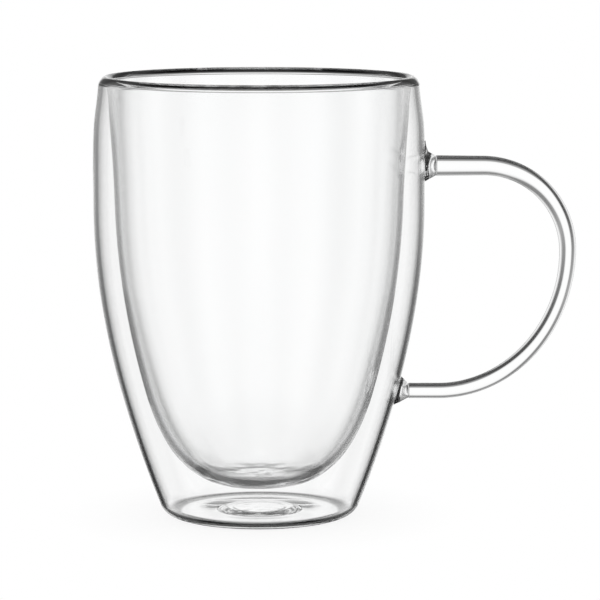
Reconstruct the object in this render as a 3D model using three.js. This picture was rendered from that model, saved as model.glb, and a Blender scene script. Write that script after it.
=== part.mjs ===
// Double walled glass mug with a bent rod handle.
// Millimetres, +Z up. The origin lies on the cup's axis, in the plane that the mug stands on,
// and the handle points along +X.

import * as THREE from 'three';

// Outer wall
const MUG_HEIGHT = 117;
const RIM_DIAMETER = 84.6;
const BELLY_DIAMETER = 87.8;
const BELLY_HEIGHT = 83;
const FOOT_DIAMETER = 44; // circle on which the rounded heel meets the table
const HEEL_RADIUS = 5.1;
const WALL_LEAN = 21.3; // degrees from upright, just above the heel
const RIM_FLARE = 5.3; // degrees from upright, just below the rim
const OUTER_WALL = 1.4;

// How far each end of the wall keeps its direction before it bends
const RIM_STRAIGHT = 10.8;
const BELLY_RISE = 26.4;
const BELLY_DROP = 28.7;
const HEEL_STRAIGHT = 25.9;

// Base of the outer wall and the molten seal that closes its vent
const FOOT_RING_WIDTH = 4;
const FOOT_RING_SLOPE = 0.8;
const BASE_RECESS = 0.4;
const VENT_DIAMETER = 14.4;
const SEAL_CLEARANCE = 0.3;
const SEAL_RECESS = 0.3;
const SEAL_LIP = 4.2;
const SEAL_CROWN = 0.8;

// Air space between the walls
const AIR_GAP = 4.8;
const RIM_GAP = 0.8;
const GAP_TAPER = 15; // depth below the rim over which the space opens out
const FLOOR_GAP = 6.9;

// Inner cup
const INNER_WALL = 1.5;
const CUP_FLOOR = 2.2;
const CUP_FLOOR_DIAMETER = 13;
const BOWL_HEIGHT = 33; // level at which the cup's side turns into its round bottom
const THICKENING_HEIGHT = 60; // level below which the cup's wall thickens towards its floor

// Fused lip over both walls
const RIM_BEAD_HEIGHT = 2.2;
const LIP_RISE = 0.5; // how far the walls run on into the lip before it rounds over
const CREST_SPREAD = 0.8; // roundness of the lip's crest

// Handle, a glass rod that was bent hot and drawn thinner towards its lower end
const HANDLE_REACH = 83.8;
const UPPER_ARM_DROP = 23.7; // from the rim's top down to the arm's middle
const LOWER_ARM_HEIGHT = 33.2;
const BEND_HEIGHT = 70.7;
const UPPER_ARM_LENGTH = 12.5;
const LOWER_ARM_LENGTH = 8;
const ROD_UPPER = 5.5;
const ROD_MIDDLE = 4.3;
const ROD_LOWER = 4.1;

// Fused collars between the handle and the outer wall
const UPPER_COLLAR_DIAMETER = 7.4; // next to the wall
const LOWER_COLLAR_DIAMETER = 6.6;
const COLLAR_HEIGHT = 0.9; // of the collar's widest part, out from the wall
const FILLET_SPREAD = 0.5; // of the melted foot, beyond the collar
const UPPER_FILLET_RISE = 2.9; // of the same foot, up the wall above the upper arm
const FILLET_EDGE = 0.5; // thickness of the foot at its edge, out from the wall
const PAD_LENGTH = 2.9; // from the wall to the end of the rod
const PAD_GROOVE = 0.3; // rounding of the collar where the rod was pressed on
const PAD_GAP = 0.3;

// Facets
const TURNS = 48;
const ROD_SIDES = 16;
const ROD_STEPS = 36;
const PAD_SIDES = 20;
const HEEL_STEPS = 5;
const LOWER_WALL_STEPS = 10;
const UPPER_WALL_STEPS = 7;
const BOWL_STEPS = 10;
const LIP_STEPS = 5;
const CROWN_STEPS = 6;
const FILLET_STEPS = 3;

const CLEAR_GLASS = { color: 0xe9eeee, roughness: 0.04, metalness: 0, transparent: true, opacity: 0.35 };
const ROD_GLASS = { color: 0xe2e8e8, roughness: 0.05, metalness: 0, transparent: true, opacity: 0.45 };

const rimRadius = RIM_DIAMETER / 2;
const wallTop = MUG_HEIGHT - RIM_BEAD_HEIGHT;
const cupUnderside = OUTER_WALL + FLOOR_GAP;
const upperArmHeight = MUG_HEIGHT - UPPER_ARM_DROP;

// A point of a profile: its distance from the axis and its height.
function at(radius, height) {
  return new THREE.Vector2(radius, height);
}

// A direction that leans outwards by an angle from upright.
function leaning(degrees) {
  const angle = THREE.MathUtils.degToRad(degrees);
  return at(Math.sin(angle), Math.cos(angle));
}

// Moves a profile sideways by a distance that may change from point to point.
// The profile climbs, so a positive distance moves it towards the axis.
function offset(profile, distanceAt) {
  return profile.map((point, index) => {
    const before = profile[Math.max(index - 1, 0)];
    const after = profile[Math.min(index + 1, profile.length - 1)];
    const along = after.clone().sub(before).normalize();
    return at(-along.y, along.x).multiplyScalar(distanceAt(point, index)).add(point);
  });
}

// Where the line through a point in a direction comes to a level.
function meetLevel(point, direction, level) {
  return direction.clone().multiplyScalar((level - point.y) / direction.y).add(point);
}

// The part of a climbing profile above a level, starting on that level.
function above(profile, level) {
  const first = profile.findIndex((point) => point.y > level);
  const share = THREE.MathUtils.inverseLerp(profile[first - 1].y, profile[first].y, level);
  return [profile[first - 1].clone().lerp(profile[first], share), ...profile.slice(first)];
}

// A closed or axis-to-axis profile turned about +Z.
function turned(profile) {
  return new THREE.LatheGeometry(profile, TURNS).rotateX(Math.PI / 2);
}

// The rounded heel, or the same bend at a depth inside the glass.
function heelBend(depth) {
  const radius = HEEL_RADIUS - depth;
  const end = -THREE.MathUtils.degToRad(WALL_LEAN);
  const bend = new THREE.EllipseCurve(FOOT_DIAMETER / 2, HEEL_RADIUS, radius, radius, -Math.PI / 2, end);
  return bend.getPoints(HEEL_STEPS);
}

// Outer face of the mug from the top of its heel to the wall's top.
function outerWall() {
  const lean = leaning(WALL_LEAN);
  const heelTop = heelBend(0)[HEEL_STEPS];
  const belly = at(BELLY_DIAMETER / 2, BELLY_HEIGHT);
  const rim = at(rimRadius, wallTop);
  const flare = leaning(-RIM_FLARE);
  const lower = new THREE.CubicBezierCurve(
    heelTop,
    lean.clone().multiplyScalar(HEEL_STRAIGHT).add(heelTop),
    at(belly.x, belly.y - BELLY_DROP),
    belly);
  const upper = new THREE.CubicBezierCurve(
    belly,
    at(belly.x, belly.y + BELLY_RISE),
    flare.multiplyScalar(-RIM_STRAIGHT).add(rim),
    rim);
  return [...lower.getPoints(LOWER_WALL_STEPS), ...upper.getPoints(UPPER_WALL_STEPS).slice(1)];
}

const wall = outerWall();

// The wall's inner side, level with the outer one at the top.
function wallInside(distanceAt) {
  const inside = offset(wall, distanceAt);
  inside[inside.length - 1] = at(rimRadius - distanceAt(wall[wall.length - 1]), wallTop);
  return inside;
}

// The outer wall and its base, of one thickness, with a foot ring and the vent.
function outerShell() {
  const ringInside = FOOT_DIAMETER / 2 - FOOT_RING_WIDTH;
  const vent = VENT_DIAMETER / 2;
  return turned([
    at(vent, BASE_RECESS),
    at(ringInside - FOOT_RING_SLOPE, BASE_RECESS),
    at(ringInside, 0),
    ...heelBend(0),
    ...wall.slice(1),
    ...wallInside(() => OUTER_WALL).slice(1).reverse(),
    ...heelBend(OUTER_WALL).reverse(),
    at(vent, OUTER_WALL),
    at(vent, BASE_RECESS),
  ]);
}

// The gob that closes the vent: a plug with a lip that lies on the base's upper face.
function ventSeal() {
  const plug = VENT_DIAMETER / 2 - SEAL_CLEARANCE;
  const lip = VENT_DIAMETER / 2 + SEAL_LIP;
  const crown = new THREE.EllipseCurve(0, OUTER_WALL, lip, SEAL_CROWN, 0, Math.PI / 2);
  return turned([
    at(0, SEAL_RECESS),
    at(plug, SEAL_RECESS),
    at(plug, OUTER_WALL),
    ...crown.getPoints(CROWN_STEPS),
  ]);
}

// Side of the inner cup that faces the air space, from its flat underside to the wall's top.
function cupOutside() {
  const apart = (point) => {
    const depth = wallTop - point.y;
    return OUTER_WALL + AIR_GAP - (AIR_GAP - RIM_GAP) * Math.exp(-depth / GAP_TAPER);
  };
  const side = above(wallInside(apart), BOWL_HEIGHT);
  const corner = meetLevel(side[0], side[1].clone().sub(side[0]), cupUnderside);
  const floorEdge = at(CUP_FLOOR_DIAMETER / 2, cupUnderside);
  const bowl = new THREE.QuadraticBezierCurve(floorEdge, corner, side[0]);
  return [...bowl.getPoints(BOWL_STEPS), ...side.slice(1)];
}

function innerCup() {
  const outside = cupOutside();
  const last = outside.length - 1;
  const thickness = (point) => {
    const share = Math.min((point.y - cupUnderside) / (THICKENING_HEIGHT - cupUnderside), 1);
    return THREE.MathUtils.lerp(CUP_FLOOR, INNER_WALL, share);
  };
  const inside = offset(outside, thickness);
  inside[0] = at(CUP_FLOOR_DIAMETER / 2, cupUnderside + CUP_FLOOR);
  inside[last] = at(outside[last].x - INNER_WALL, wallTop);
  return turned([
    at(0, cupUnderside),
    ...outside,
    ...inside.reverse(),
    at(0, cupUnderside + CUP_FLOOR),
  ]);
}

// Rounded lip that bridges both walls and closes the air space at the top.
function rimBead() {
  const width = OUTER_WALL + RIM_GAP + INNER_WALL;
  const outer = at(rimRadius, wallTop);
  const inner = at(rimRadius - width, wallTop);
  const crest = at(rimRadius - width / 2, MUG_HEIGHT);
  const rise = at(0, LIP_RISE);
  const spread = at(CREST_SPREAD, 0);
  const outerSide = new THREE.CubicBezierCurve(
    outer, outer.clone().add(rise), crest.clone().add(spread), crest);
  const innerSide = new THREE.CubicBezierCurve(
    crest, crest.clone().sub(spread), inner.clone().add(rise), inner);
  return turned([...outerSide.getPoints(LIP_STEPS), ...innerSide.getPoints(LIP_STEPS).slice(1), outer]);
}

// Radius of the outer wall at a level.
function wallRadius(height) {
  return above(wall, height)[0].x;
}

const upperRodEnd = wallRadius(upperArmHeight) + PAD_LENGTH;
const lowerRodEnd = wallRadius(LOWER_ARM_HEIGHT) + PAD_LENGTH;

// A quarter of an ellipse in the handle's plane.
class QuarterBend extends THREE.Curve {
  constructor(centre, reach, rise) {
    super();
    this.centre = centre;
    this.reach = reach;
    this.rise = rise;
  }

  // An upward bend runs out to the handle's outermost point, a downward one runs back from it.
  getPoint(share, target = new THREE.Vector3()) {
    const angle = (this.rise > 0 ? 1 - share : share) * Math.PI / 2;
    return target.set(
      this.centre.x + this.reach * Math.cos(angle),
      0,
      this.centre.z + this.rise * Math.sin(angle));
  }
}

function handlePath() {
  const outermost = HANDLE_REACH - ROD_MIDDLE / 2;
  const upperStart = new THREE.Vector3(upperRodEnd, 0, upperArmHeight);
  const upperTurn = upperStart.clone().setX(upperRodEnd + UPPER_ARM_LENGTH);
  const lowerStart = new THREE.Vector3(lowerRodEnd, 0, LOWER_ARM_HEIGHT);
  const lowerTurn = lowerStart.clone().setX(lowerRodEnd + LOWER_ARM_LENGTH);
  const path = new THREE.CurvePath();
  path.add(new THREE.LineCurve3(upperStart, upperTurn));
  path.add(new QuarterBend(
    upperTurn.clone().setZ(BEND_HEIGHT), outermost - upperTurn.x, upperArmHeight - BEND_HEIGHT));
  path.add(new QuarterBend(
    lowerTurn.clone().setZ(BEND_HEIGHT), outermost - lowerTurn.x, LOWER_ARM_HEIGHT - BEND_HEIGHT));
  path.add(new THREE.LineCurve3(lowerTurn, lowerStart));
  return path;
}

// Thickness of the rod at a share of its length.
function rodThickness(share) {
  return share < 0.5
    ? THREE.MathUtils.lerp(ROD_UPPER, ROD_MIDDLE, share * 2)
    : THREE.MathUtils.lerp(ROD_MIDDLE, ROD_LOWER, share * 2 - 1);
}

// A unit cylinder, capped at both ends, whose rings are laid out along the handle's path.
function handleRod() {
  const path = handlePath();
  const rod = new THREE.CylinderGeometry(0.5, 0.5, 1, ROD_SIDES, ROD_STEPS);
  const position = rod.getAttribute('position');
  const vertex = new THREE.Vector3();
  for (let index = 0; index < position.count; index += 1) {
    vertex.fromBufferAttribute(position, index);
    const share = THREE.MathUtils.clamp(0.5 - vertex.y, 0, 1);
    const centre = path.getPointAt(share);
    const along = path.getTangentAt(share);
    const thickness = rodThickness(share);
    const across = vertex.x * thickness;
    position.setXYZ(
      index,
      centre.x + along.z * across,
      vertex.z * thickness,
      centre.z - along.x * across);
  }
  return rod;
}

// A collar about +X: its foot is melted into the wall, and its end meets the rod's flat end in a groove.
// Its profile gives heights as shares of the way from the wall to the rod.
function handlePad(height, rodEnd, rodDiameter, collarDiameter, filletRise) {
  const rodRadius = rodDiameter / 2;
  const collar = collarDiameter / 2;
  const foot = collar + FILLET_SPREAD;
  const lift = (collar + filletRise) / foot;
  const ring = (radius, distance) => at(radius, distance / PAD_LENGTH);
  const fillet = new THREE.QuadraticBezierCurve(
    ring(foot, FILLET_EDGE), ring((foot + collar) / 2, FILLET_EDGE), ring(collar, COLLAR_HEIGHT));
  const profile = [
    ring(0, PAD_GAP),
    ring(collar, PAD_GAP),
    ring(foot, PAD_GAP),
    ...fillet.getPoints(FILLET_STEPS),
    ring(rodRadius, PAD_LENGTH - PAD_GROOVE),
    ring(rodRadius - PAD_GROOVE, PAD_LENGTH),
    ring(0, PAD_LENGTH),
  ];
  const pad = new THREE.LatheGeometry(profile, PAD_SIDES);
  const position = pad.getAttribute('position');
  const vertex = new THREE.Vector3();
  for (let index = 0; index < position.count; index += 1) {
    vertex.fromBufferAttribute(position, index);
    const across = vertex.z;
    const spread = Math.max(Math.hypot(vertex.x, across) - collar, 0) / FILLET_SPREAD;
    const stretch = vertex.x > 0 ? THREE.MathUtils.lerp(1, lift, spread) : 1;
    const level = height + vertex.x * stretch;
    const outside = Math.sqrt(wallRadius(level) ** 2 - across ** 2);
    position.setXYZ(index, THREE.MathUtils.lerp(outside, rodEnd, vertex.y), across, level);
  }
  return pad;
}

function piece(name, geometry, glass) {
  const mesh = new THREE.Mesh(geometry, new THREE.MeshStandardMaterial(glass));
  mesh.name = name;
  return mesh;
}

const mug = new THREE.Group();
mug.name = 'double_walled_mug';
mug.add(piece('inner_cup', innerCup(), CLEAR_GLASS));
mug.add(piece('outer_shell', outerShell(), CLEAR_GLASS));
mug.add(piece('rim_bead', rimBead(), CLEAR_GLASS));
mug.add(piece('vent_seal', ventSeal(), CLEAR_GLASS));
mug.add(piece('handle_rod', handleRod(), ROD_GLASS));
mug.add(piece(
  'upper_handle_pad',
  handlePad(upperArmHeight, upperRodEnd, ROD_UPPER, UPPER_COLLAR_DIAMETER, UPPER_FILLET_RISE),
  ROD_GLASS));
mug.add(piece(
  'lower_handle_pad',
  handlePad(LOWER_ARM_HEIGHT, lowerRodEnd, ROD_LOWER, LOWER_COLLAR_DIAMETER, FILLET_SPREAD),
  ROD_GLASS));

export default mug;
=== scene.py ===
"""Looks of the double walled glass mug: two blown walls, a lip, a vent seal and a bent rod handle."""

import logging
import math
from bisect import bisect_left
from collections.abc import Callable
from dataclasses import dataclass, field
from enum import IntEnum, StrEnum

import bmesh
import bpy
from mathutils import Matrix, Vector
from mathutils.geometry import interpolate_bezier


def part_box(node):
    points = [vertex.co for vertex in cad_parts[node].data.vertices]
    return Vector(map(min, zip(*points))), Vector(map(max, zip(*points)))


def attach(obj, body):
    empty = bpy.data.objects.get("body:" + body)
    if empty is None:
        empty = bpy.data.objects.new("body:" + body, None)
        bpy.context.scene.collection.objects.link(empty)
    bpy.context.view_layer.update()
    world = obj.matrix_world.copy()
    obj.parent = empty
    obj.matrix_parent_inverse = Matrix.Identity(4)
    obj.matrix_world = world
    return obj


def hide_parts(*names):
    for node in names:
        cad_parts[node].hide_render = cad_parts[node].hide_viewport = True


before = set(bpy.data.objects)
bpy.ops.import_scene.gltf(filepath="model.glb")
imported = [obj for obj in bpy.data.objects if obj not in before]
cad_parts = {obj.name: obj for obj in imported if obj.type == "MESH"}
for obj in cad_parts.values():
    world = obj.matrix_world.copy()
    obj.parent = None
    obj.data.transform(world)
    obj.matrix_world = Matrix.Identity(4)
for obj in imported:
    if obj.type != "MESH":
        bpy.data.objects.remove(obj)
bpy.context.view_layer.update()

Colour = tuple[float, float, float, float]
Number = float | int
Outline = list[Vector]
Stops = tuple[tuple[float, float], ...]

log = logging.getLogger("mug")

BODY = "root"
TINY = 0.00001
MERGE_DISTANCE = TINY / 10
SECTORS = 16
QUAD_CORNERS = 4
NOISE_DETAIL = 1.0
WHITE: Colour = (1.0, 1.0, 1.0, 1.0)


class Surface(IntEnum):
    """Materials of a piece: its free glass, and the faces where it is fused to its neighbour."""

    GLASS = 0
    FUSED = 1


class Slot(StrEnum):
    """The record's material slots."""

    BLOWN = "blown_glass"
    ROD = "rod_glass"


class Value:
    """A number that a shader works out, which takes part in Python expressions."""

    def __init__(self, shader: "Shader", socket: bpy.types.NodeSocket) -> None:
        """Wraps a socket of a shader's node."""
        self.shader = shader
        self.socket = socket

    def apply(self, operation: str, *others: "Number | Value") -> "Value":
        """Adds a Math node whose first input is this value."""
        return self.shader.math(operation, self, *others)

    def __add__(self, other: "Number | Value") -> "Value":
        """Adds."""
        return self.apply("ADD", other)

    def __radd__(self, other: Number) -> "Value":
        """Adds to a number."""
        return self.apply("ADD", other)

    def __sub__(self, other: "Number | Value") -> "Value":
        """Subtracts."""
        return self.apply("SUBTRACT", other)

    def __rsub__(self, other: Number) -> "Value":
        """Subtracts from a number."""
        return self.shader.math("SUBTRACT", other, self)

    def __mul__(self, other: "Number | Value") -> "Value":
        """Multiplies."""
        return self.apply("MULTIPLY", other)

    def __rmul__(self, other: Number) -> "Value":
        """Multiplies a number."""
        return self.apply("MULTIPLY", other)

    def __truediv__(self, other: "Number | Value") -> "Value":
        """Divides."""
        return self.apply("DIVIDE", other)

    def __rtruediv__(self, other: Number) -> "Value":
        """Divides a number."""
        return self.shader.math("DIVIDE", other, self)

    def __gt__(self, other: "Number | Value") -> "Value":
        """1 where this value is the greater one, else 0."""
        return self.apply("GREATER_THAN", other)

    def __lt__(self, other: "Number | Value") -> "Value":
        """1 where this value is the lesser one, else 0."""
        return self.apply("LESS_THAN", other)

    def towards(self, other: "Number | Value", share: "Value") -> "Value":
        """Goes from this value to another one by a share."""
        return self + (other - self) * share


class Shader:
    """Node tree of a material or a world, emptied and then filled by expressions and single nodes."""

    def __init__(self, owner: bpy.types.Material | bpy.types.World) -> None:
        """Empties the owner's node tree.

        Args:
            owner: the material or world that gets the nodes.
        """
        owner.use_nodes = True
        self.tree = owner.node_tree
        self.tree.nodes.clear()

    def node(self, kind: str, settings: dict | None = None, inputs: dict | None = None) -> bpy.types.Node:
        """Adds a node.

        Args:
            kind: Blender's name of the node's type.
            settings: properties that are set first; stops gives a ramp's places and values.
            inputs: values or links by socket name or number.

        Returns:
            The node.
        """
        node = self.tree.nodes.new(kind)
        for name, setting in (settings or {}).items():
            if name == "stops":
                self.set_stops(node.color_ramp, setting)
            else:
                setattr(node, name, setting)
        for name, given in (inputs or {}).items():
            if isinstance(given, Value):
                self.tree.links.new(given.socket, node.inputs[name])
            elif isinstance(given, bpy.types.NodeSocket):
                self.tree.links.new(given, node.inputs[name])
            else:
                node.inputs[name].default_value = given
        return node

    def set_stops(self, ramp: bpy.types.ColorRamp, stops: Stops) -> None:
        """Gives a ramp grey stops.

        Args:
            ramp: the ramp of a Color Ramp node.
            stops: place and grey value of each stop, in rising order.
        """
        while len(ramp.elements) < len(stops):
            ramp.elements.new(1.0)
        for element, (place, grey) in zip(ramp.elements, stops):
            element.position = place
            element.color = (grey, grey, grey, 1.0)

    def value(self, kind: str, settings: dict | None = None, inputs: dict | None = None,
              output: str | int = 0) -> Value:
        """Adds a node and wraps one of its outputs.

        Args:
            kind: Blender's name of the node's type.
            settings: properties that are set first.
            inputs: values or links by socket name or number.
            output: name or number of the output.

        Returns:
            The output as a value.
        """
        return Value(self, self.node(kind, settings, inputs).outputs[output])

    def math(self, operation: str, *terms: "Number | Value") -> Value:
        """Adds a Math node.

        Args:
            operation: the node's operation.
            terms: its inputs, in order.

        Returns:
            The node's result.
        """
        return self.value("ShaderNodeMath", {"operation": operation}, dict(enumerate(terms)))

    def ramp(self, factor: Value, stops: Stops) -> Value:
        """Adds a ramp of greys over a factor from 0 to 1.

        Args:
            factor: what the ramp reads.
            stops: place and grey value of each stop.

        Returns:
            The grey value.
        """
        return self.value("ShaderNodeValToRGB", {"stops": stops}, {"Fac": factor}, "Color")

    def noise(self, vector: bpy.types.NodeSocket, length: float, roughness: float) -> Value:
        """Adds soft noise.

        Args:
            vector: what the noise reads.
            length: about the length of its bumps.
            roughness: strength of the finer bumps on them.

        Returns:
            The noise, from 0 to 1.
        """
        return self.value("ShaderNodeTexNoise", None, {
            "Vector": vector, "Scale": 1.0 / length, "Detail": NOISE_DETAIL, "Roughness": roughness})

    def axes(self, vector: bpy.types.NodeSocket) -> tuple[Value, Value, Value]:
        """Takes a vector apart into x, y and z."""
        parts = self.node("ShaderNodeSeparateXYZ", None, {0: vector})
        return tuple(Value(self, parts.outputs[axis]) for axis in "XYZ")

    def object_place(self) -> tuple[bpy.types.NodeSocket, Value, Value, Value]:
        """Place on the piece in its own frame: the vector, then x, y and z."""
        place = self.node("ShaderNodeTexCoord").outputs["Object"]
        return place, *self.axes(place)

    def rays(self) -> tuple[Value, Value]:
        """Tells rays apart.

        Returns:
            1 for rays from the camera, else 0; and 1 for rays that glass or its shine sends on, else 0.
        """
        path = self.node("ShaderNodeLightPath")
        camera, glossy, through = (
            Value(self, path.outputs[name])
            for name in ("Is Camera Ray", "Is Glossy Ray", "Is Transmission Ray"))
        return camera, glossy.apply("MAXIMUM", through)

    def blend(self, first: bpy.types.Node, second: bpy.types.Node, share: Value) -> bpy.types.Node:
        """Mixes two surfaces by the share of the second one."""
        return self.node("ShaderNodeMixShader", None, {0: share, 1: first.outputs[0], 2: second.outputs[0]})

    def show(self, surface: bpy.types.Node, output: str = "ShaderNodeOutputMaterial") -> None:
        """Links a surface to the tree's output."""
        self.node(output, None, {"Surface": surface.outputs[0]})


@dataclass(frozen=True)
class Weld:
    """Round spot on the outer wall where a handle pad is melted into it.

    Attributes:
        height: height of its middle.
        radius: its reach down the wall and to the sides.
        lift: how much further it reaches up the wall.
        wall_radius: radius of the wall at its middle.
        wall_slope: growth of the wall's radius with height there.
        depth: depth of the skin that is melted away.
    """

    height: float
    radius: float
    lift: float
    wall_radius: float
    wall_slope: float
    depth: float


@dataclass(frozen=True)
class ClearGlass:
    """Clear borosilicate with the faint waves that blowing leaves in it."""

    name: str
    tint: Colour = (0.99, 0.993, 0.993, 1.0)
    thin: Colour = WHITE
    ior: float = 1.47
    wave_length: float = 0.022
    wave_stretch: float = 0.4
    wave_height: float = 0.00004
    wave_roughness: float = 0.4
    haze: float = 0.004
    ripple_level: float = 0.0
    ripple_fade: float = 0.7
    ripple_length: float = 0.006
    ripple_roughness: float = 0.5
    ripple_share: float = 4.0
    welds: tuple[Weld, ...] = ()

    def material(self) -> bpy.types.Material:
        """Builds the glass.

        Returns:
            A clear material with waves in its surface, open where a pad is welded on.
        """
        glass = bpy.data.materials.new(self.name)
        shader = Shader(glass)
        place, x, y, z = shader.object_place()
        stretch = (1.0, 1.0, self.wave_stretch)
        along = shader.node("ShaderNodeMapping", None, {"Vector": place, "Scale": stretch})
        waves = shader.noise(along.outputs[0], self.wave_length, self.wave_roughness)
        tint = shader.node("ShaderNodeMix", {"data_type": "RGBA"}, {0: waves, 6: self.tint, 7: self.thin})
        bump = shader.node("ShaderNodeBump", None, {
            "Strength": 1.0, "Distance": self.wave_height, "Height": self.rippled(shader, place, z, waves)})
        inputs = {
            "Base Color": tint.outputs[2],
            "Roughness": waves * self.haze,
            "Normal": bump.outputs[0],
            "IOR": self.ior,
            "Transmission Weight": 1.0,
        }
        if self.welds:
            inputs["Alpha"] = self.open_welds(shader, x, y, z)
        shader.show(shader.node("ShaderNodeBsdfPrincipled", None, inputs))
        return glass

    def rippled(self, shader: Shader, place: bpy.types.NodeSocket, z: Value, waves: Value) -> Value:
        """Adds the short ripples of glass that was melted together low in the mug.

        Args:
            shader: the shader that gets the nodes.
            place: place on the piece.
            z: height.
            waves: the long waves.

        Returns:
            The height of the waves, with ripples below the ripple level.
        """
        if not self.ripple_level:
            return waves
        ripples = shader.noise(place, self.ripple_length, self.ripple_roughness)
        low = shader.ramp(z / self.ripple_level, ((self.ripple_fade, 1.0), (1.0, 0.0)))
        return waves + ripples * low * self.ripple_share

    def open_welds(self, shader: Shader, x: Value, y: Value, z: Value) -> Value:
        """Works out where the wall's outer skin is melted away under the pads.

        Args:
            shader: the shader that gets the nodes.
            x: place along the handle's direction.
            y: place across the handle.
            z: height.

        Returns:
            0 on the welds, 1 elsewhere.
        """
        radial = (x * x + y * y).apply("SQRT")
        solid = None
        for weld in self.welds:
            rise = z - weld.height
            drop = rise.apply("MINIMUM", 0.0) + rise.apply("MAXIMUM", 0.0) / weld.lift
            near = (y * y + drop * drop) < weld.radius * weld.radius
            skin = (radial - rise * weld.wall_slope) > weld.wall_radius - weld.depth
            kept = 1 - near * skin * (x > 0.0)
            solid = kept if solid is None else solid * kept
        return solid


@dataclass(frozen=True)
class FusedGlass:
    """Face inside the glass where two pieces are melted into one, so light passes straight through it."""

    name: str = "fused_glass"

    def material(self) -> bpy.types.Material:
        """Builds a face that isn't seen."""
        fused = bpy.data.materials.new(self.name)
        shader = Shader(fused)
        shader.show(shader.node("ShaderNodeBsdfPrincipled", None, {"Alpha": 0.0}))
        return fused


@dataclass(frozen=True)
class Finish:
    """What a piece is dressed in: its free glass, its fused faces and its slot in the record."""

    glass: bpy.types.Material
    fused: bpy.types.Material
    slot: Slot

    def dress(self, mesh: bpy.types.Mesh) -> None:
        """Gives a mesh its materials, in the order of the surfaces."""
        for material in (self.glass, self.fused):
            mesh.materials.append(material)


def at(radius: float, height: float) -> Vector:
    """A point of a profile: its distance from the axis and its height."""
    return Vector((radius, height))


def leaning(angle: float) -> Vector:
    """A direction that leans outwards by an angle from upright."""
    return at(math.sin(angle), math.cos(angle))


def bend(start: Vector, corner: Vector, end: Vector, steps: int) -> Outline:
    """A smooth bend that leaves its start towards a corner and comes to its end from there.

    Args:
        start: first point.
        corner: where the lines through both ends meet.
        end: last point.
        steps: number of points.

    Returns:
        The points of the bend.
    """
    # Handles two thirds of the way to the corner make the cubic curve a parabola.
    return interpolate_bezier(start, start.lerp(corner, 2 / 3), end.lerp(corner, 2 / 3), end, steps)


def slope(start: Vector, end: Vector, steps: int) -> Outline:
    """A slope between two levels that is flat at both ends.

    Args:
        start: first point.
        end: last point.
        steps: number of points of each half.

    Returns:
        The points of the slope.
    """
    middle = start.lerp(end, 0.5)
    first = bend(start, at(start.lerp(middle, 0.5).x, start.y), middle, steps)
    second = bend(middle, at(middle.lerp(end, 0.5).x, end.y), end, steps)
    return [*first, *second[1:]]


def arc(centre: Vector, radius: float, start: float, end: float, steps: int) -> Outline:
    """Part of a circle.

    Args:
        centre: the circle's middle.
        radius: its radius.
        start: angle of the first point, from the outward direction towards the upward one.
        end: angle of the last point.
        steps: number of points.

    Returns:
        The points of the arc.
    """
    angles = (start + (end - start) * step / (steps - 1) for step in range(steps))
    return [centre + radius * at(math.cos(angle), math.sin(angle)) for angle in angles]


def direction(outline: Outline, index: int) -> Vector:
    """Direction in which an outline runs at one of its points."""
    before = outline[max(index - 1, 0)]
    after = outline[min(index + 1, len(outline) - 1)]
    return (after - before).normalized()


def shifted(outline: Outline, distance: Callable[[Vector], float]) -> Outline:
    """Moves a climbing outline sideways, towards the axis.

    Args:
        outline: the points to move.
        distance: how far each point goes.

    Returns:
        The moved points.
    """
    moved = []
    for index, point in enumerate(outline):
        along = direction(outline, index)
        moved.append(point + distance(point) * at(-along.y, along.x))
    return moved


def above(outline: Outline, level: float) -> Outline:
    """The part of a climbing outline above a level, starting on that level.

    Args:
        outline: a climbing outline.
        level: the height where the part starts.

    Returns:
        The points from the level up.
    """
    first = next(index for index, point in enumerate(outline) if point.y > level)
    low, high = outline[first - 1], outline[first]
    share = (level - low.y) / (high.y - low.y)
    return [low.lerp(high, share), *outline[first:]]


def meet_level(point: Vector, along: Vector, level: float) -> Vector:
    """Where the line through a point comes to a level."""
    return point + along * ((level - point.y) / along.y)


@dataclass(frozen=True)
class Seam:
    """Band of a turned profile that is fused to the neighbouring piece."""

    low: Vector
    high: Vector

    def holds(self, radius: float, height: float) -> bool:
        """Says whether a face's middle lies in the band."""
        wide = self.low.x - TINY < radius < self.high.x + TINY
        return wide and self.low.y - TINY < height < self.high.y + TINY


def turned(outline: Outline, closed: bool, steps: int) -> bmesh.types.BMesh:
    """Turns a profile about the upright axis: one sector is swept, and its copies go all the way round.

    Args:
        outline: radius and height of each point.
        closed: whether the last point joins the first one; else both ends lie on the axis.
        steps: faces round the axis.

    Returns:
        A closed body.
    """
    body = bmesh.new()
    points = [body.verts.new((point.x, 0.0, point.y)) for point in outline]
    pairs = list(zip(points, points[1:]))
    if closed:
        pairs.append((points[-1], points[0]))
    lines = [body.edges.new(pair) for pair in pairs]
    sector = math.tau / SECTORS
    axis = {"cent": (0, 0, 0), "axis": (0, 0, 1), "dvec": (0, 0, 0), "use_merge": False}
    bmesh.ops.spin(body, geom=points + lines, angle=sector, steps=steps // SECTORS,
                   use_duplicate=False, **axis)
    swept = body.verts[:] + body.edges[:] + body.faces[:]
    bmesh.ops.spin(body, geom=swept, angle=math.tau - sector, steps=SECTORS - 1,
                   use_duplicate=True, **axis)
    bmesh.ops.remove_doubles(body, verts=body.verts, dist=MERGE_DISTANCE)
    point_outwards(body)
    return body


def point_outwards(body: bmesh.types.BMesh) -> None:
    """Turns the faces of a closed body outwards, also where the body bends far round."""
    bmesh.ops.recalc_face_normals(body, faces=body.faces)
    if body.calc_volume(signed=True) < 0.0:
        bmesh.ops.reverse_faces(body, faces=body.faces)


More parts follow.
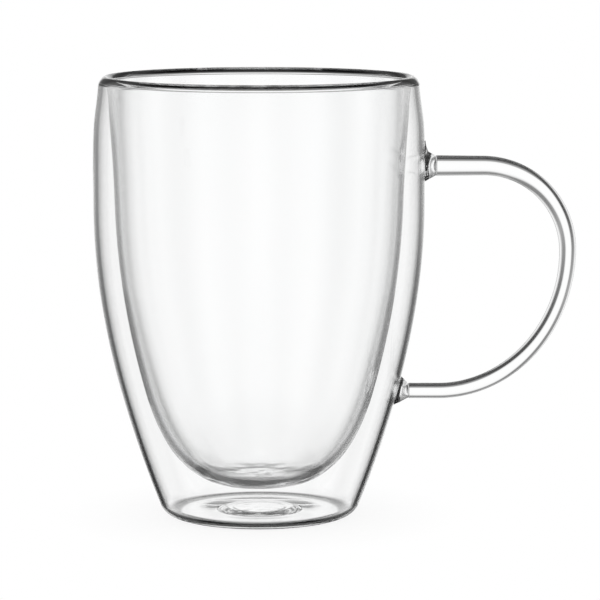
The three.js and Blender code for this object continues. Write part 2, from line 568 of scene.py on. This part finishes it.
def mark_seams(body: bmesh.types.BMesh, seams: list[Seam]) -> None:
    """Gives the faces in a turned body's seams the fused surface.

    Args:
        body: a body turned about the upright axis.
        seams: the bands of its profile that are fused.
    """
    for face in body.faces:
        middle = face.calc_center_median()
        radius = math.hypot(middle.x, middle.y)
        if any(seam.holds(radius, middle.z) for seam in seams):
            face.material_index = Surface.FUSED


def make_piece(name: str, body: bmesh.types.BMesh, finish: Finish) -> bpy.types.Object:
    """Makes a smooth object of a body, puts it on the mug and hides the solid that it stands for.

    Args:
        name: name of the CAD node.
        body: the shape, which is freed.
        finish: what the piece is dressed in.

    Returns:
        The object.
    """
    for face in body.faces:
        face.smooth = True
    for edge in body.edges:
        surfaces = {face.material_index for face in edge.link_faces}
        edge.smooth = len(surfaces) == 1
    mesh = bpy.data.meshes.new(name + "_glass")
    body.to_mesh(mesh)
    body.free()
    finish.dress(mesh)
    piece = bpy.data.objects.new(name + "_glass", mesh)
    bpy.context.scene.collection.objects.link(piece)
    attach(piece, BODY)
    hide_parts(name)
    return piece


@dataclass
class WallCurve:
    """Outer face of the mug, from its foot to the fused rim."""

    rim_radius: float
    top: float
    belly_radius: float
    belly_height: float = 0.083
    foot_radius: float = 0.022
    heel_radius: float = 0.0051
    lean: float = math.radians(21.3)
    flare: float = math.radians(5.3)
    rim_straight: float = 0.0108
    belly_rise: float = 0.0264
    belly_drop: float = 0.0287
    heel_straight: float = 0.0259
    heel_steps: int = 24
    lower_steps: int = 76
    upper_steps: int = 60
    # Share of a step by which the last ring lies below the rim.
    last_step: float = 0.1
    heel: Outline = field(init=False)
    wall: Outline = field(init=False)

    def __post_init__(self) -> None:
        """Draws the rounded heel, and the wall from the heel over the belly to the rim."""
        self.heel = self.heel_arc(0.0)
        start = self.heel[-1]
        belly = at(self.belly_radius, self.belly_height)
        rim = at(self.rim_radius, self.top)
        lower = interpolate_bezier(
            start, start + self.heel_straight * leaning(self.lean),
            belly - at(0.0, self.belly_drop), belly, self.lower_steps)
        upper = interpolate_bezier(
            belly, belly + at(0.0, self.belly_rise),
            rim - self.rim_straight * leaning(-self.flare), rim, self.upper_steps)
        self.wall = [*lower, *upper[1:-1], upper[-1].lerp(upper[-2], self.last_step), upper[-1]]

    def heel_arc(self, depth: float) -> Outline:
        """The rounded heel, or the same bend at a depth inside the glass."""
        centre = at(self.foot_radius, self.heel_radius)
        return arc(centre, self.heel_radius - depth, -math.pi / 2, -self.lean, self.heel_steps)

    def radius_at(self, height: float) -> float:
        """Radius of the wall at a height."""
        return above(self.wall, height)[0].x


@dataclass
class Walls:
    """The blown body: the outer shell, the inner cup, the rim bead over both and the seal in the base."""

    curve: WallCurve
    height: float
    outer_wall: float = 0.0014
    inner_wall: float = 0.0015
    rim_gap: float = 0.0008
    air_gap: float = 0.0048
    gap_taper: float = 0.015
    foot_ring: float = 0.004
    ring_slope: float = 0.01
    slope_steps: int = 12
    base_recess: float = 0.0004
    vent_radius: float = 0.0072
    seal_recess: float = 0.0003
    # Rounded lower edge of the seal: its width, and its corner's distance from the vent.
    seal_edge: float = 0.001
    seal_corner: float = 0.0004
    seal_edge_steps: int = 6
    seal_lip: float = 0.0114
    seal_top: float = 0.0022
    # Flat top of the seal as a share of its lip, and the softness of the edge round it.
    seal_shoulder: float = 0.72
    seal_roundness: float = 0.0014
    seal_steps: int = 16
    cup_underside: float = 0.0083
    cup_floor: float = 0.0022
    cup_floor_radius: float = 0.0065
    bowl_height: float = 0.033
    bowl_steps: int = 64
    thickening_height: float = 0.06
    lip_rise: float = 0.0005
    lip_spread: float = 0.0008
    lip_steps: int = 20
    lip_arch: float = 0.0003
    arch_steps: int = 12
    turns: int = 256

    def apart(self, point: Vector) -> float:
        """Distance from the mug's outer face to the inner cup's outer face, which closes towards the rim."""
        closing = math.exp((point.y - self.curve.top) / self.gap_taper)
        return self.outer_wall + self.air_gap - (self.air_gap - self.rim_gap) * closing

    def level_top(self, outline: Outline, inset: float) -> Outline:
        """Ends an outline level with the top of the walls.

        Args:
            outline: a climbing outline that ends near the top.
            inset: its distance inside the rim there.

        Returns:
            The outline with its last point moved.
        """
        return [*outline[:-1], at(self.curve.rim_radius - inset, self.curve.top)]

    def shell_inside(self) -> Outline:
        """Side of the outer shell that faces the air space, from the base's floor to the top."""
        side = self.level_top(shifted(self.curve.wall, lambda point: self.outer_wall), self.outer_wall)
        return [*self.curve.heel_arc(self.outer_wall)[:-1], *side]

    def cup_outside(self) -> Outline:
        """Side of the inner cup that faces the air space, from its flat underside to the top."""
        side = self.level_top(shifted(self.curve.wall, self.apart), self.outer_wall + self.rim_gap)
        side = above(side, self.bowl_height)
        corner = meet_level(side[0], side[1] - side[0], self.cup_underside)
        bowl = bend(at(self.cup_floor_radius, self.cup_underside), corner, side[0], self.bowl_steps)
        return [*bowl, *side[1:]]

    def cup_inside(self) -> Outline:
        """Side of the inner cup that holds the drink, from its flat floor to the top."""
        def thickness(point: Vector) -> float:
            """Thickness of the cup, which grows from its side to its floor."""
            share = min((point.y - self.cup_underside) / (self.thickening_height - self.cup_underside), 1.0)
            return self.cup_floor + (self.inner_wall - self.cup_floor) * share

        side = shifted(self.cup_outside(), thickness)
        side[0] = at(self.cup_floor_radius, self.cup_underside + self.cup_floor)
        return self.level_top(side, self.rim_width())

    def rim_width(self) -> float:
        """Width of the fused rim."""
        return self.outer_wall + self.rim_gap + self.inner_wall

    def build_shell(self, finish: Finish) -> bpy.types.Object:
        """Builds the outer shell with its heel, foot ring and vent.

        Args:
            finish: what the shell is dressed in.

        Returns:
            The shell.
        """
        ring = self.curve.foot_radius - self.foot_ring
        recess = at(ring - self.ring_slope, self.base_recess)
        underside = [at(self.vent_radius, self.base_recess), *slope(recess, at(ring, 0.0), self.slope_steps)]
        outline = [*underside, *self.curve.heel, *self.curve.wall[1:], *reversed(self.shell_inside()),
                   at(self.seal_lip, self.outer_wall), at(self.vent_radius, self.outer_wall)]
        body = turned(outline, closed=True, steps=self.turns)
        top = self.curve.top
        rim = self.curve.rim_radius
        mark_seams(body, [
            Seam(at(rim - self.outer_wall, top), at(rim, top)),
            Seam(at(self.vent_radius, self.outer_wall), at(self.seal_lip, self.outer_wall)),
            Seam(at(self.vent_radius, self.base_recess), at(self.vent_radius, self.outer_wall)),
        ])
        return make_piece("outer_shell", body, finish)

    def build_cup(self, finish: Finish) -> bpy.types.Object:
        """Builds the inner cup.

        Args:
            finish: what the cup is dressed in.

        Returns:
            The cup.
        """
        outside = self.cup_outside()
        inside = self.cup_inside()
        halfway = self.cup_floor_radius / 2
        outline = [at(0.0, outside[0].y), at(halfway, outside[0].y), *outside,
                   *reversed(inside), at(halfway, inside[0].y), at(0.0, inside[0].y)]
        body = turned(outline, closed=False, steps=self.turns)
        mark_seams(body, [Seam(inside[-1], outside[-1])])
        return make_piece("inner_cup", body, finish)

    def build_rim(self, finish: Finish) -> bpy.types.Object:
        """Builds the rounded lip that joins both walls, with an arched ceiling over the air space.

        Args:
            finish: what the lip is dressed in.

        Returns:
            The lip.
        """
        outer = at(self.curve.rim_radius, self.curve.top)
        inner = outer - at(self.rim_width(), 0.0)
        ceiling_outer = outer - at(self.outer_wall, 0.0)
        ceiling_inner = inner + at(self.inner_wall, 0.0)
        crest = at((outer.x + inner.x) / 2, self.height)
        spread = at(self.lip_spread, 0.0)
        outer_up = leaning(-self.curve.flare)
        inner_up = direction(self.cup_inside(), len(self.cup_inside()) - 1)
        gap_up = direction(self.cup_outside(), len(self.cup_outside()) - 1)
        outer_side = interpolate_bezier(
            outer, outer + self.lip_rise * outer_up, crest + spread, crest, self.lip_steps)
        inner_side = interpolate_bezier(
            crest, crest - spread, inner + self.lip_rise * inner_up, inner, self.lip_steps)
        ceiling = interpolate_bezier(
            ceiling_inner, ceiling_inner + self.lip_arch * gap_up,
            ceiling_outer + self.lip_arch * outer_up, ceiling_outer, self.arch_steps)
        body = turned([*outer_side, *inner_side[1:], *ceiling], closed=True, steps=self.turns)
        mark_seams(body, [Seam(inner, ceiling_inner), Seam(ceiling_outer, outer)])
        return make_piece("rim_bead", body, finish)

    def build_seal(self, finish: Finish) -> bpy.types.Object:
        """Builds the gob that closes the vent in the base.

        Args:
            finish: what the gob is dressed in.

        Returns:
            The gob.
        """
        floor = self.outer_wall
        vent = self.vent_radius
        lip = at(self.seal_lip, floor)
        below = bend(
            at(vent - self.seal_edge, self.seal_recess), at(vent - self.seal_corner, self.seal_recess),
            at(vent, self.base_recess), self.seal_edge_steps)
        shoulder = at(self.seal_lip * self.seal_shoulder, self.seal_top)
        roundness = at(self.seal_roundness, 0.0)
        edge = interpolate_bezier(lip, lip - roundness, shoulder + roundness, shoulder, self.seal_steps)
        outline = [at(0.0, self.seal_recess), *below, at(vent, floor), *edge,
                   at(shoulder.x / 2, self.seal_top), at(0.0, self.seal_top)]
        body = turned(outline, closed=False, steps=self.turns)
        mark_seams(body, [
            Seam(at(vent, floor), lip),
            Seam(at(vent, self.base_recess), at(vent, floor)),
        ])
        return make_piece("vent_seal", body, finish)

    def build(self, shell: Finish, cup: Finish) -> list[bpy.types.Object]:
        """Builds the pieces of the body.

        Args:
            shell: what the outer shell is dressed in.
            cup: what the cup, the lip and the seal are dressed in.

        Returns:
            The pieces.
        """
        return [self.build_shell(shell), self.build_cup(cup), self.build_rim(cup), self.build_seal(cup)]


@dataclass(frozen=True)
class Pad:
    """Small collar that welds one end of the rod to the outer wall.

    Attributes:
        node: name of the CAD node.
        height: height of the arm.
        rod_end: place of the rod's end along the handle's direction.
        rod_radius: radius of the rod there.
        flange: radius of the collar next to the wall.
        lift: how much further its fillet runs up the wall than down.
    """

    node: str
    height: float
    rod_end: float
    rod_radius: float
    flange: float
    lift: float


@dataclass
class Handle:
    """The bent rod, and the two pads that weld it to the outer wall."""

    curve: WallCurve
    reach: float
    rod_top: float
    rod_bottom: float
    bend_height: float = 0.0707
    bend_steps: int = 200
    upper_length: float = 0.0125
    lower_length: float = 0.008
    upper_thickness: float = 0.0055
    middle_thickness: float = 0.0043
    lower_thickness: float = 0.0041
    upper_flange: float = 0.0037
    lower_flange: float = 0.0033
    upper_lift: float = 1.57
    lower_lift: float = 1.0
    pad_length: float = 0.0029
    pad_fillet: float = 0.0005
    # Hollow of a pad's fillet, as shares of the fillet's width and height.
    fillet_width: float = 0.5
    fillet_height: float = 0.3
    fillet_steps: int = 10
    pad_edge: float = 0.00015
    flange_height: float = 0.0009
    pad_groove: float = 0.0003
    pad_groove_steps: int = 5
    rod_groove_steps: int = 4
    pad_sink: float = 0.0004
    weld_depth: float = 0.0007
    sides: int = 64
    rings: int = 200

    @property
    def upper_arm(self) -> float:
        """Height of the upper arm's middle."""
        return self.rod_top - self.upper_thickness / 2

    @property
    def lower_arm(self) -> float:
        """Height of the lower arm's middle."""
        return self.rod_bottom + self.lower_thickness / 2

    def rod_end(self, height: float) -> float:
        """Place of the rod's end along the handle's direction, for an arm at a height."""
        return self.curve.radius_at(height) + self.pad_length

    def pads(self) -> tuple[Pad, Pad]:
        """The upper and the lower pad."""
        upper = Pad("upper_handle_pad", self.upper_arm, self.rod_end(self.upper_arm),
                    self.upper_thickness / 2, self.upper_flange, self.upper_lift)
        lower = Pad("lower_handle_pad", self.lower_arm, self.rod_end(self.lower_arm),
                    self.lower_thickness / 2, self.lower_flange, self.lower_lift)
        return upper, lower

    def quarter(self, turn: Vector) -> Outline:
        """A quarter of an ellipse, from the outermost place of the rod's middle line to an arm.

        Args:
            turn: where the arm's straight part ends.

        Returns:
            Points close together, as reach and height.
        """
        width = self.reach - self.middle_thickness / 2 - turn.x
        rise = turn.y - self.bend_height
        angles = (math.pi / 2 * step / self.bend_steps for step in range(self.bend_steps + 1))
        return [at(turn.x + width * math.cos(angle), self.bend_height + rise * math.sin(angle))
                for angle in angles]

    def path(self) -> Outline:
        """The rod's middle line in the handle's plane, from its upper end to its lower one.

        Returns:
            Points close together, as reach and height.
        """
        upper_end = at(self.rod_end(self.upper_arm), self.upper_arm)
        lower_end = at(self.rod_end(self.lower_arm), self.lower_arm)
        upper = self.quarter(upper_end + at(self.upper_length, 0.0))
        lower = self.quarter(lower_end + at(self.lower_length, 0.0))
        return [upper_end, *reversed(upper), *lower[1:], lower_end]

    def thickness(self, share: float) -> float:
        """Thickness of the rod at a share of its length."""
        if share < 0.5:
            return self.upper_thickness + (self.middle_thickness - self.upper_thickness) * share * 2
        return self.middle_thickness + (self.lower_thickness - self.middle_thickness) * (share * 2 - 1)

    def build_rod(self, finish: Finish) -> bpy.types.Object:
        """Builds the rod: a cylinder in many rings that are laid out along its path.

        Args:
            finish: what the rod is dressed in.

        Returns:
            The rod.
        """
        line = self.path()
        travelled = [0.0]
        for before, after in zip(line, line[1:]):
            travelled.append(travelled[-1] + (after - before).length)
        body = bmesh.new()
        # The cylinder is one unit long and thick until it is laid out.
        bmesh.ops.create_cone(body, cap_ends=True, segments=self.sides, radius1=0.5, radius2=0.5, depth=1.0)
        upright = [edge for edge in body.edges if abs(edge.verts[0].co.z - edge.verts[1].co.z) > 0.5]
        bmesh.ops.subdivide_edges(body, edges=upright, cuts=self.rings, use_grid_fill=True)
        for vertex in body.verts:
            share = min(max(vertex.co.z + 0.5, 0.0), 1.0)
            distance = share * travelled[-1]
            index = max(bisect_left(travelled, distance) - 1, 0)
            part = (distance - travelled[index]) / (travelled[index + 1] - travelled[index])
            centre = line[index].lerp(line[index + 1], part)
            along = direction(line, index).lerp(direction(line, index + 1), part).normalized()
            across = vertex.co.x * self.thickness(share)
            aside = vertex.co.y * self.thickness(share)
            vertex.co = (centre.x - along.y * across, aside, centre.y + along.x * across)
        point_outwards(body)
        # Only the two end faces have more corners than a quad.
        rims = [edge for edge in body.edges
                if any(len(face.verts) > QUAD_CORNERS for face in edge.link_faces)]
        bmesh.ops.bevel(body, geom=rims, offset=self.pad_groove, offset_type="OFFSET",
                        segments=self.rod_groove_steps, profile=0.5, affect="EDGES", material=-1)
        for face in body.faces:
            if len(face.verts) > QUAD_CORNERS:
                face.material_index = Surface.FUSED
        return make_piece("handle_rod", body, finish)

    def build_pad(self, pad: Pad, finish: Finish) -> bpy.types.Object:
        """Builds a collar whose foot is filleted into the wall and whose end meets the rod in a groove.

        Its profile is drawn over shares of its length, from 0 at the wall to 1 at the rod.

        Args:
            pad: the collar's place and sizes.
            finish: what the collar is dressed in.

        Returns:
            The collar.
        """
        edge, sink, top, groove = (
            size / self.pad_length
            for size in (self.pad_edge, -self.pad_sink, self.flange_height, self.pad_groove))
        flange = pad.flange
        foot = flange + self.pad_fillet
        neck = pad.rod_radius
        tip = at(neck - self.pad_groove, 1.0)
        hollow = at(flange + self.pad_fillet * self.fillet_width, edge + (top - edge) * self.fillet_height)
        outline = [
            at(0.0, sink), at(foot, sink),
            *bend(at(foot, edge), hollow, at(flange, top), self.fillet_steps),
            *bend(at(neck, 1 - groove), at(neck, 1.0), tip, self.pad_groove_steps),
            at(0.0, 1.0)]
        body = turned(outline, closed=False, steps=self.sides)
        for face in body.faces:
            heights = [vertex.co.z for vertex in face.verts]
            if max(heights) < sink + TINY or min(heights) > 1 - TINY:
                face.material_index = Surface.FUSED
        for vertex in body.verts:
            aside = vertex.co.y
            spread = (math.hypot(vertex.co.x, aside) - flange) / self.pad_fillet
            stretch = 1 + (pad.lift - 1) * max(spread, 0.0) if vertex.co.x > 0 else 1.0
            level = pad.height + vertex.co.x * stretch
            wall = math.sqrt(self.curve.radius_at(level) ** 2 - aside ** 2)
            vertex.co = (wall + (pad.rod_end - wall) * vertex.co.z, aside, level)
        point_outwards(body)
        return make_piece(pad.node, body, finish)

    def welds(self) -> tuple[Weld, ...]:
        """The spots on the outer wall where the pads are melted into it."""
        spots = []
        for pad in self.pads():
            foot = pad.flange + self.pad_fillet
            low, middle, high = (self.curve.radius_at(pad.height + step) for step in (-foot, 0.0, foot))
            spots.append(Weld(pad.height, foot, pad.lift, middle, (high - low) / (2 * foot), self.weld_depth))
        return tuple(spots)

    def build(self, finish: Finish) -> list[bpy.types.Object]:
        """Builds the rod and both pads.

        Args:
            finish: what they are dressed in.

        Returns:
            The pieces.
        """
        return [self.build_rod(finish), *(self.build_pad(pad, finish) for pad in self.pads())]


def by_elevation(stops: Stops) -> Stops:
    """Stops of a ramp over height, from elevations in degrees."""
    return tuple(((math.sin(math.radians(degrees)) + 1) / 2, level) for degrees, level in stops)


def by_bearing(stops: Stops) -> Stops:
    """Stops of a ramp over half a turn, from bearings in degrees."""
    return tuple((degrees / 180, level) for degrees, level in stops)


@dataclass(frozen=True)
class Surroundings:
    """What the glass sees: a window behind the mug, dark flanks beside it, and pale sides with grey strips.

    The fields hold stops of degrees and brightness, or of degrees and share. Elevations go from below the mug
    to above it. Bearings go from the window's middle round to the front, alike on both sides.

    Attributes:
        window: brightness of the window by elevation.
        flank: brightness of the flanks by elevation.
        ceiling: brightness of the sides' upper part by elevation.
        below: brightness of the sides' lower part by elevation.
        strips: brightness of the sides by bearing.
        below_end: where the sides' lower part turns white towards the front, by bearing.
        flank_end: where the flanks give way to the sides, by bearing.
        window_share: where the window gives way to the flanks, by bearing.
    """

    window: Stops = (
        (-80, 0.9), (-70, 0.03), (-33, 0.04), (-28, 0.25), (-23, 0.42), (-20, 1), (5, 1), (16, 0.95),
        (22, 0.5), (28, 0.15), (40, 0.3), (55, 0.6))
    flank: Stops = (
        (-80, 0.9), (-68, 0.15), (-55, 0.03), (-17, 0.03), (-8, 0.2), (0, 0.33), (7, 0.2), (28, 0.2),
        (38, 0.4), (52, 0.6))
    ceiling: Stops = ((12, 1), (28, 0.9), (38, 0.5), (52, 0.2))
    below: Stops = ((-76, 1), (-68, 0.1), (-56, 0.1), (-50, 0.7), (-38, 0.85), (-32, 1))
    strips: Stops = (
        (40, 0.75), (46, 0.95), (54, 0.95), (60, 0.58), (76, 0.58), (84, 1), (96, 1), (110, 0.7),
        (118, 0.72), (132, 1), (146, 1), (158, 0.88), (172, 1))
    below_end: Stops = ((88, 0), (104, 1))
    flank_end: Stops = ((29, 0), (40, 1))
    window_share: Stops = ((9, 1), (12, 0.8), (16, 0))

    def level(self, shader: Shader) -> Value:
        """Works out the brightness in each direction.

        Args:
            shader: the world's shader.

        Returns:
            The brightness, where 1 is white.
        """
        x, y, z = shader.axes(shader.node("ShaderNodeTexCoord").outputs["Generated"])
        bearing = x.apply("ARCTAN2", y).apply("ABSOLUTE") / math.pi
        height = (z + 1) / 2
        window, flank, ceiling, below = (
            shader.ramp(height, by_elevation(stops))
            for stops in (self.window, self.flank, self.ceiling, self.below))
        strips, below_end, flank_end, window_share = (
            shader.ramp(bearing, by_bearing(stops))
            for stops in (self.strips, self.below_end, self.flank_end, self.window_share))
        side = ceiling * below.towards(1, below_end) * strips
        return flank.towards(side, flank_end).towards(window, window_share)


@dataclass
class Studio:
    """The camera, a small pale floor, and surroundings that are white to the camera and light the glass."""

    surroundings: Surroundings = Surroundings()
    camera_place: tuple[float, float, float] = (0.0108, -0.8543, 0.1675)
    camera_pitch: float = math.radians(7.34)
    sensor: float = 36.0
    focal_length: float = 194.6
    floor_radius: float = 0.06
    floor_sides: int = 96
    floor_drop: float = 0.0001
    floor_colour: Colour = (0.9, 0.9, 0.9, 1.0)
    shadow_share: float = 0.18
    shadow_edge: float = 0.9
    # Radii between which the painted shadow ring under the foot darkens, stays dark and fades.
    painted_shadow_ring: tuple[float, float, float, float] = (0.0207, 0.0216, 0.024, 0.0275)
    # Darkness of the painted shadow ring under the foot.
    painted_shadow_share: float = 0.85
    plain_light: float = 0.9
    bounces: int = 32

    def build(self) -> None:
        """Sets up the camera, the floor and the light."""
        self.build_camera()
        self.build_floor()
        self.build_world()
        self.set_light_paths()

    def build_camera(self) -> None:
        """Stands the camera where the photograph was taken from."""
        lens = bpy.data.cameras.new("camera")
        lens.sensor_width = self.sensor
        lens.lens = self.focal_length
        camera = bpy.data.objects.new("camera", lens)
        camera.location = self.camera_place
        camera.rotation_euler = (math.pi / 2 - self.camera_pitch, 0.0, 0.0)
        bpy.context.scene.collection.objects.link(camera)
        bpy.context.scene.camera = camera

    def build_floor(self) -> None:
        """Lays a small round floor under the mug, which fades into the white round it."""
        body = bmesh.new()
        bmesh.ops.create_circle(body, cap_ends=True, radius=self.floor_radius, segments=self.floor_sides)
        bmesh.ops.translate(body, verts=body.verts, vec=(0.0, 0.0, -self.floor_drop))
        mesh = bpy.data.meshes.new("floor")
        body.to_mesh(mesh)
        body.free()
        mesh.materials.append(self.floor_material())
        floor = bpy.data.objects.new("floor", mesh)
        bpy.context.scene.collection.objects.link(floor)

    def floor_material(self) -> bpy.types.Material:
        """Makes a floor that is pale with a soft shadow to the camera, and to glass clear but for a painted
        shadow ring.

        Returns:
            The floor's material.
        """
        pale = bpy.data.materials.new("pale_floor")
        shader = Shader(pale)
        _, x, y, _ = shader.object_place()
        radius = (x * x + y * y).apply("SQRT") / self.floor_radius
        camera, glass = shader.rays()
        shade = shader.ramp(radius, ((0.0, 1 - self.shadow_share), (self.shadow_edge, 1.0)))
        diffuse = shader.node("ShaderNodeBsdfDiffuse", None, {"Color": self.floor_colour})
        glow = shader.node("ShaderNodeEmission", None, {"Strength": 1.0})
        lit = shader.blend(diffuse, glow, camera * shade)
        # Painted contact shadow: black mixed into the clear floor in a ring under the foot, seen only by
        # glass.
        edges = (edge / self.floor_radius for edge in self.painted_shadow_ring)
        painted_shadow = shader.ramp(radius, tuple(zip(edges, (0.0, 1.0, 1.0, 0.0))))
        clear = shader.node("ShaderNodeBsdfTransparent")
        dark = shader.node("ShaderNodeEmission", None, {"Strength": 0.0})
        under = shader.blend(clear, dark, painted_shadow * self.painted_shadow_share)
        shader.show(shader.blend(lit, under, glass))
        return pale

    def build_world(self) -> None:
        """Makes the world: white to the camera, the surroundings to glass and plain light to the rest."""
        world = bpy.data.worlds.new("studio")
        bpy.context.scene.world = world
        shader = Shader(world)
        camera, glass = shader.rays()
        level = camera.apply("MAXIMUM", glass * self.surroundings.level(shader))
        plain = (1 - camera.apply("MAXIMUM", glass)) * self.plain_light
        background = shader.node("ShaderNodeBackground", None, {"Color": WHITE, "Strength": level + plain})
        shader.show(background, "ShaderNodeOutputWorld")

    def set_light_paths(self) -> None:
        """Lets light pass all the walls of the glass, and shows its brightness as it is."""
        cycles = bpy.context.scene.cycles
        cycles.max_bounces = self.bounces
        cycles.transmission_bounces = self.bounces
        cycles.glossy_bounces = self.bounces
        cycles.transparent_max_bounces = self.bounces
        bpy.context.scene.view_settings.view_transform = "Standard"


def main() -> None:
    """Builds the mug's pieces around the frame, stands them in the studio and reports them."""
    logging.basicConfig(level=logging.INFO, format="%(name)s: %(message)s")
    shell_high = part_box("outer_shell")[1]
    rim_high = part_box("rim_bead")[1]
    rod_low, rod_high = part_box("handle_rod")
    curve = WallCurve(rim_radius=rim_high.x, top=shell_high.z, belly_radius=shell_high.x)
    handle = Handle(curve=curve, reach=rod_high.x, rod_top=rod_high.z, rod_bottom=rod_low.z)
    walls = Walls(curve=curve, height=rim_high.z)
    fused = FusedGlass().material()
    shell_glass = ClearGlass("outer_wall_glass", welds=handle.welds()).material()
    cup_glass = ClearGlass("blown_glass", ripple_level=0.015).material()
    rod_glass = ClearGlass("rod_glass", wave_length=0.012, wave_stretch=1.0).material()
    body = walls.build(Finish(shell_glass, fused, Slot.BLOWN), Finish(cup_glass, fused, Slot.BLOWN))
    grip = handle.build(Finish(rod_glass, fused, Slot.ROD))
    for piece in [*body, *grip]:
        log.info("%s: %d faces", piece.name, len(piece.data.polygons))
    Studio().build()


if __name__ == "__main__":
    main()
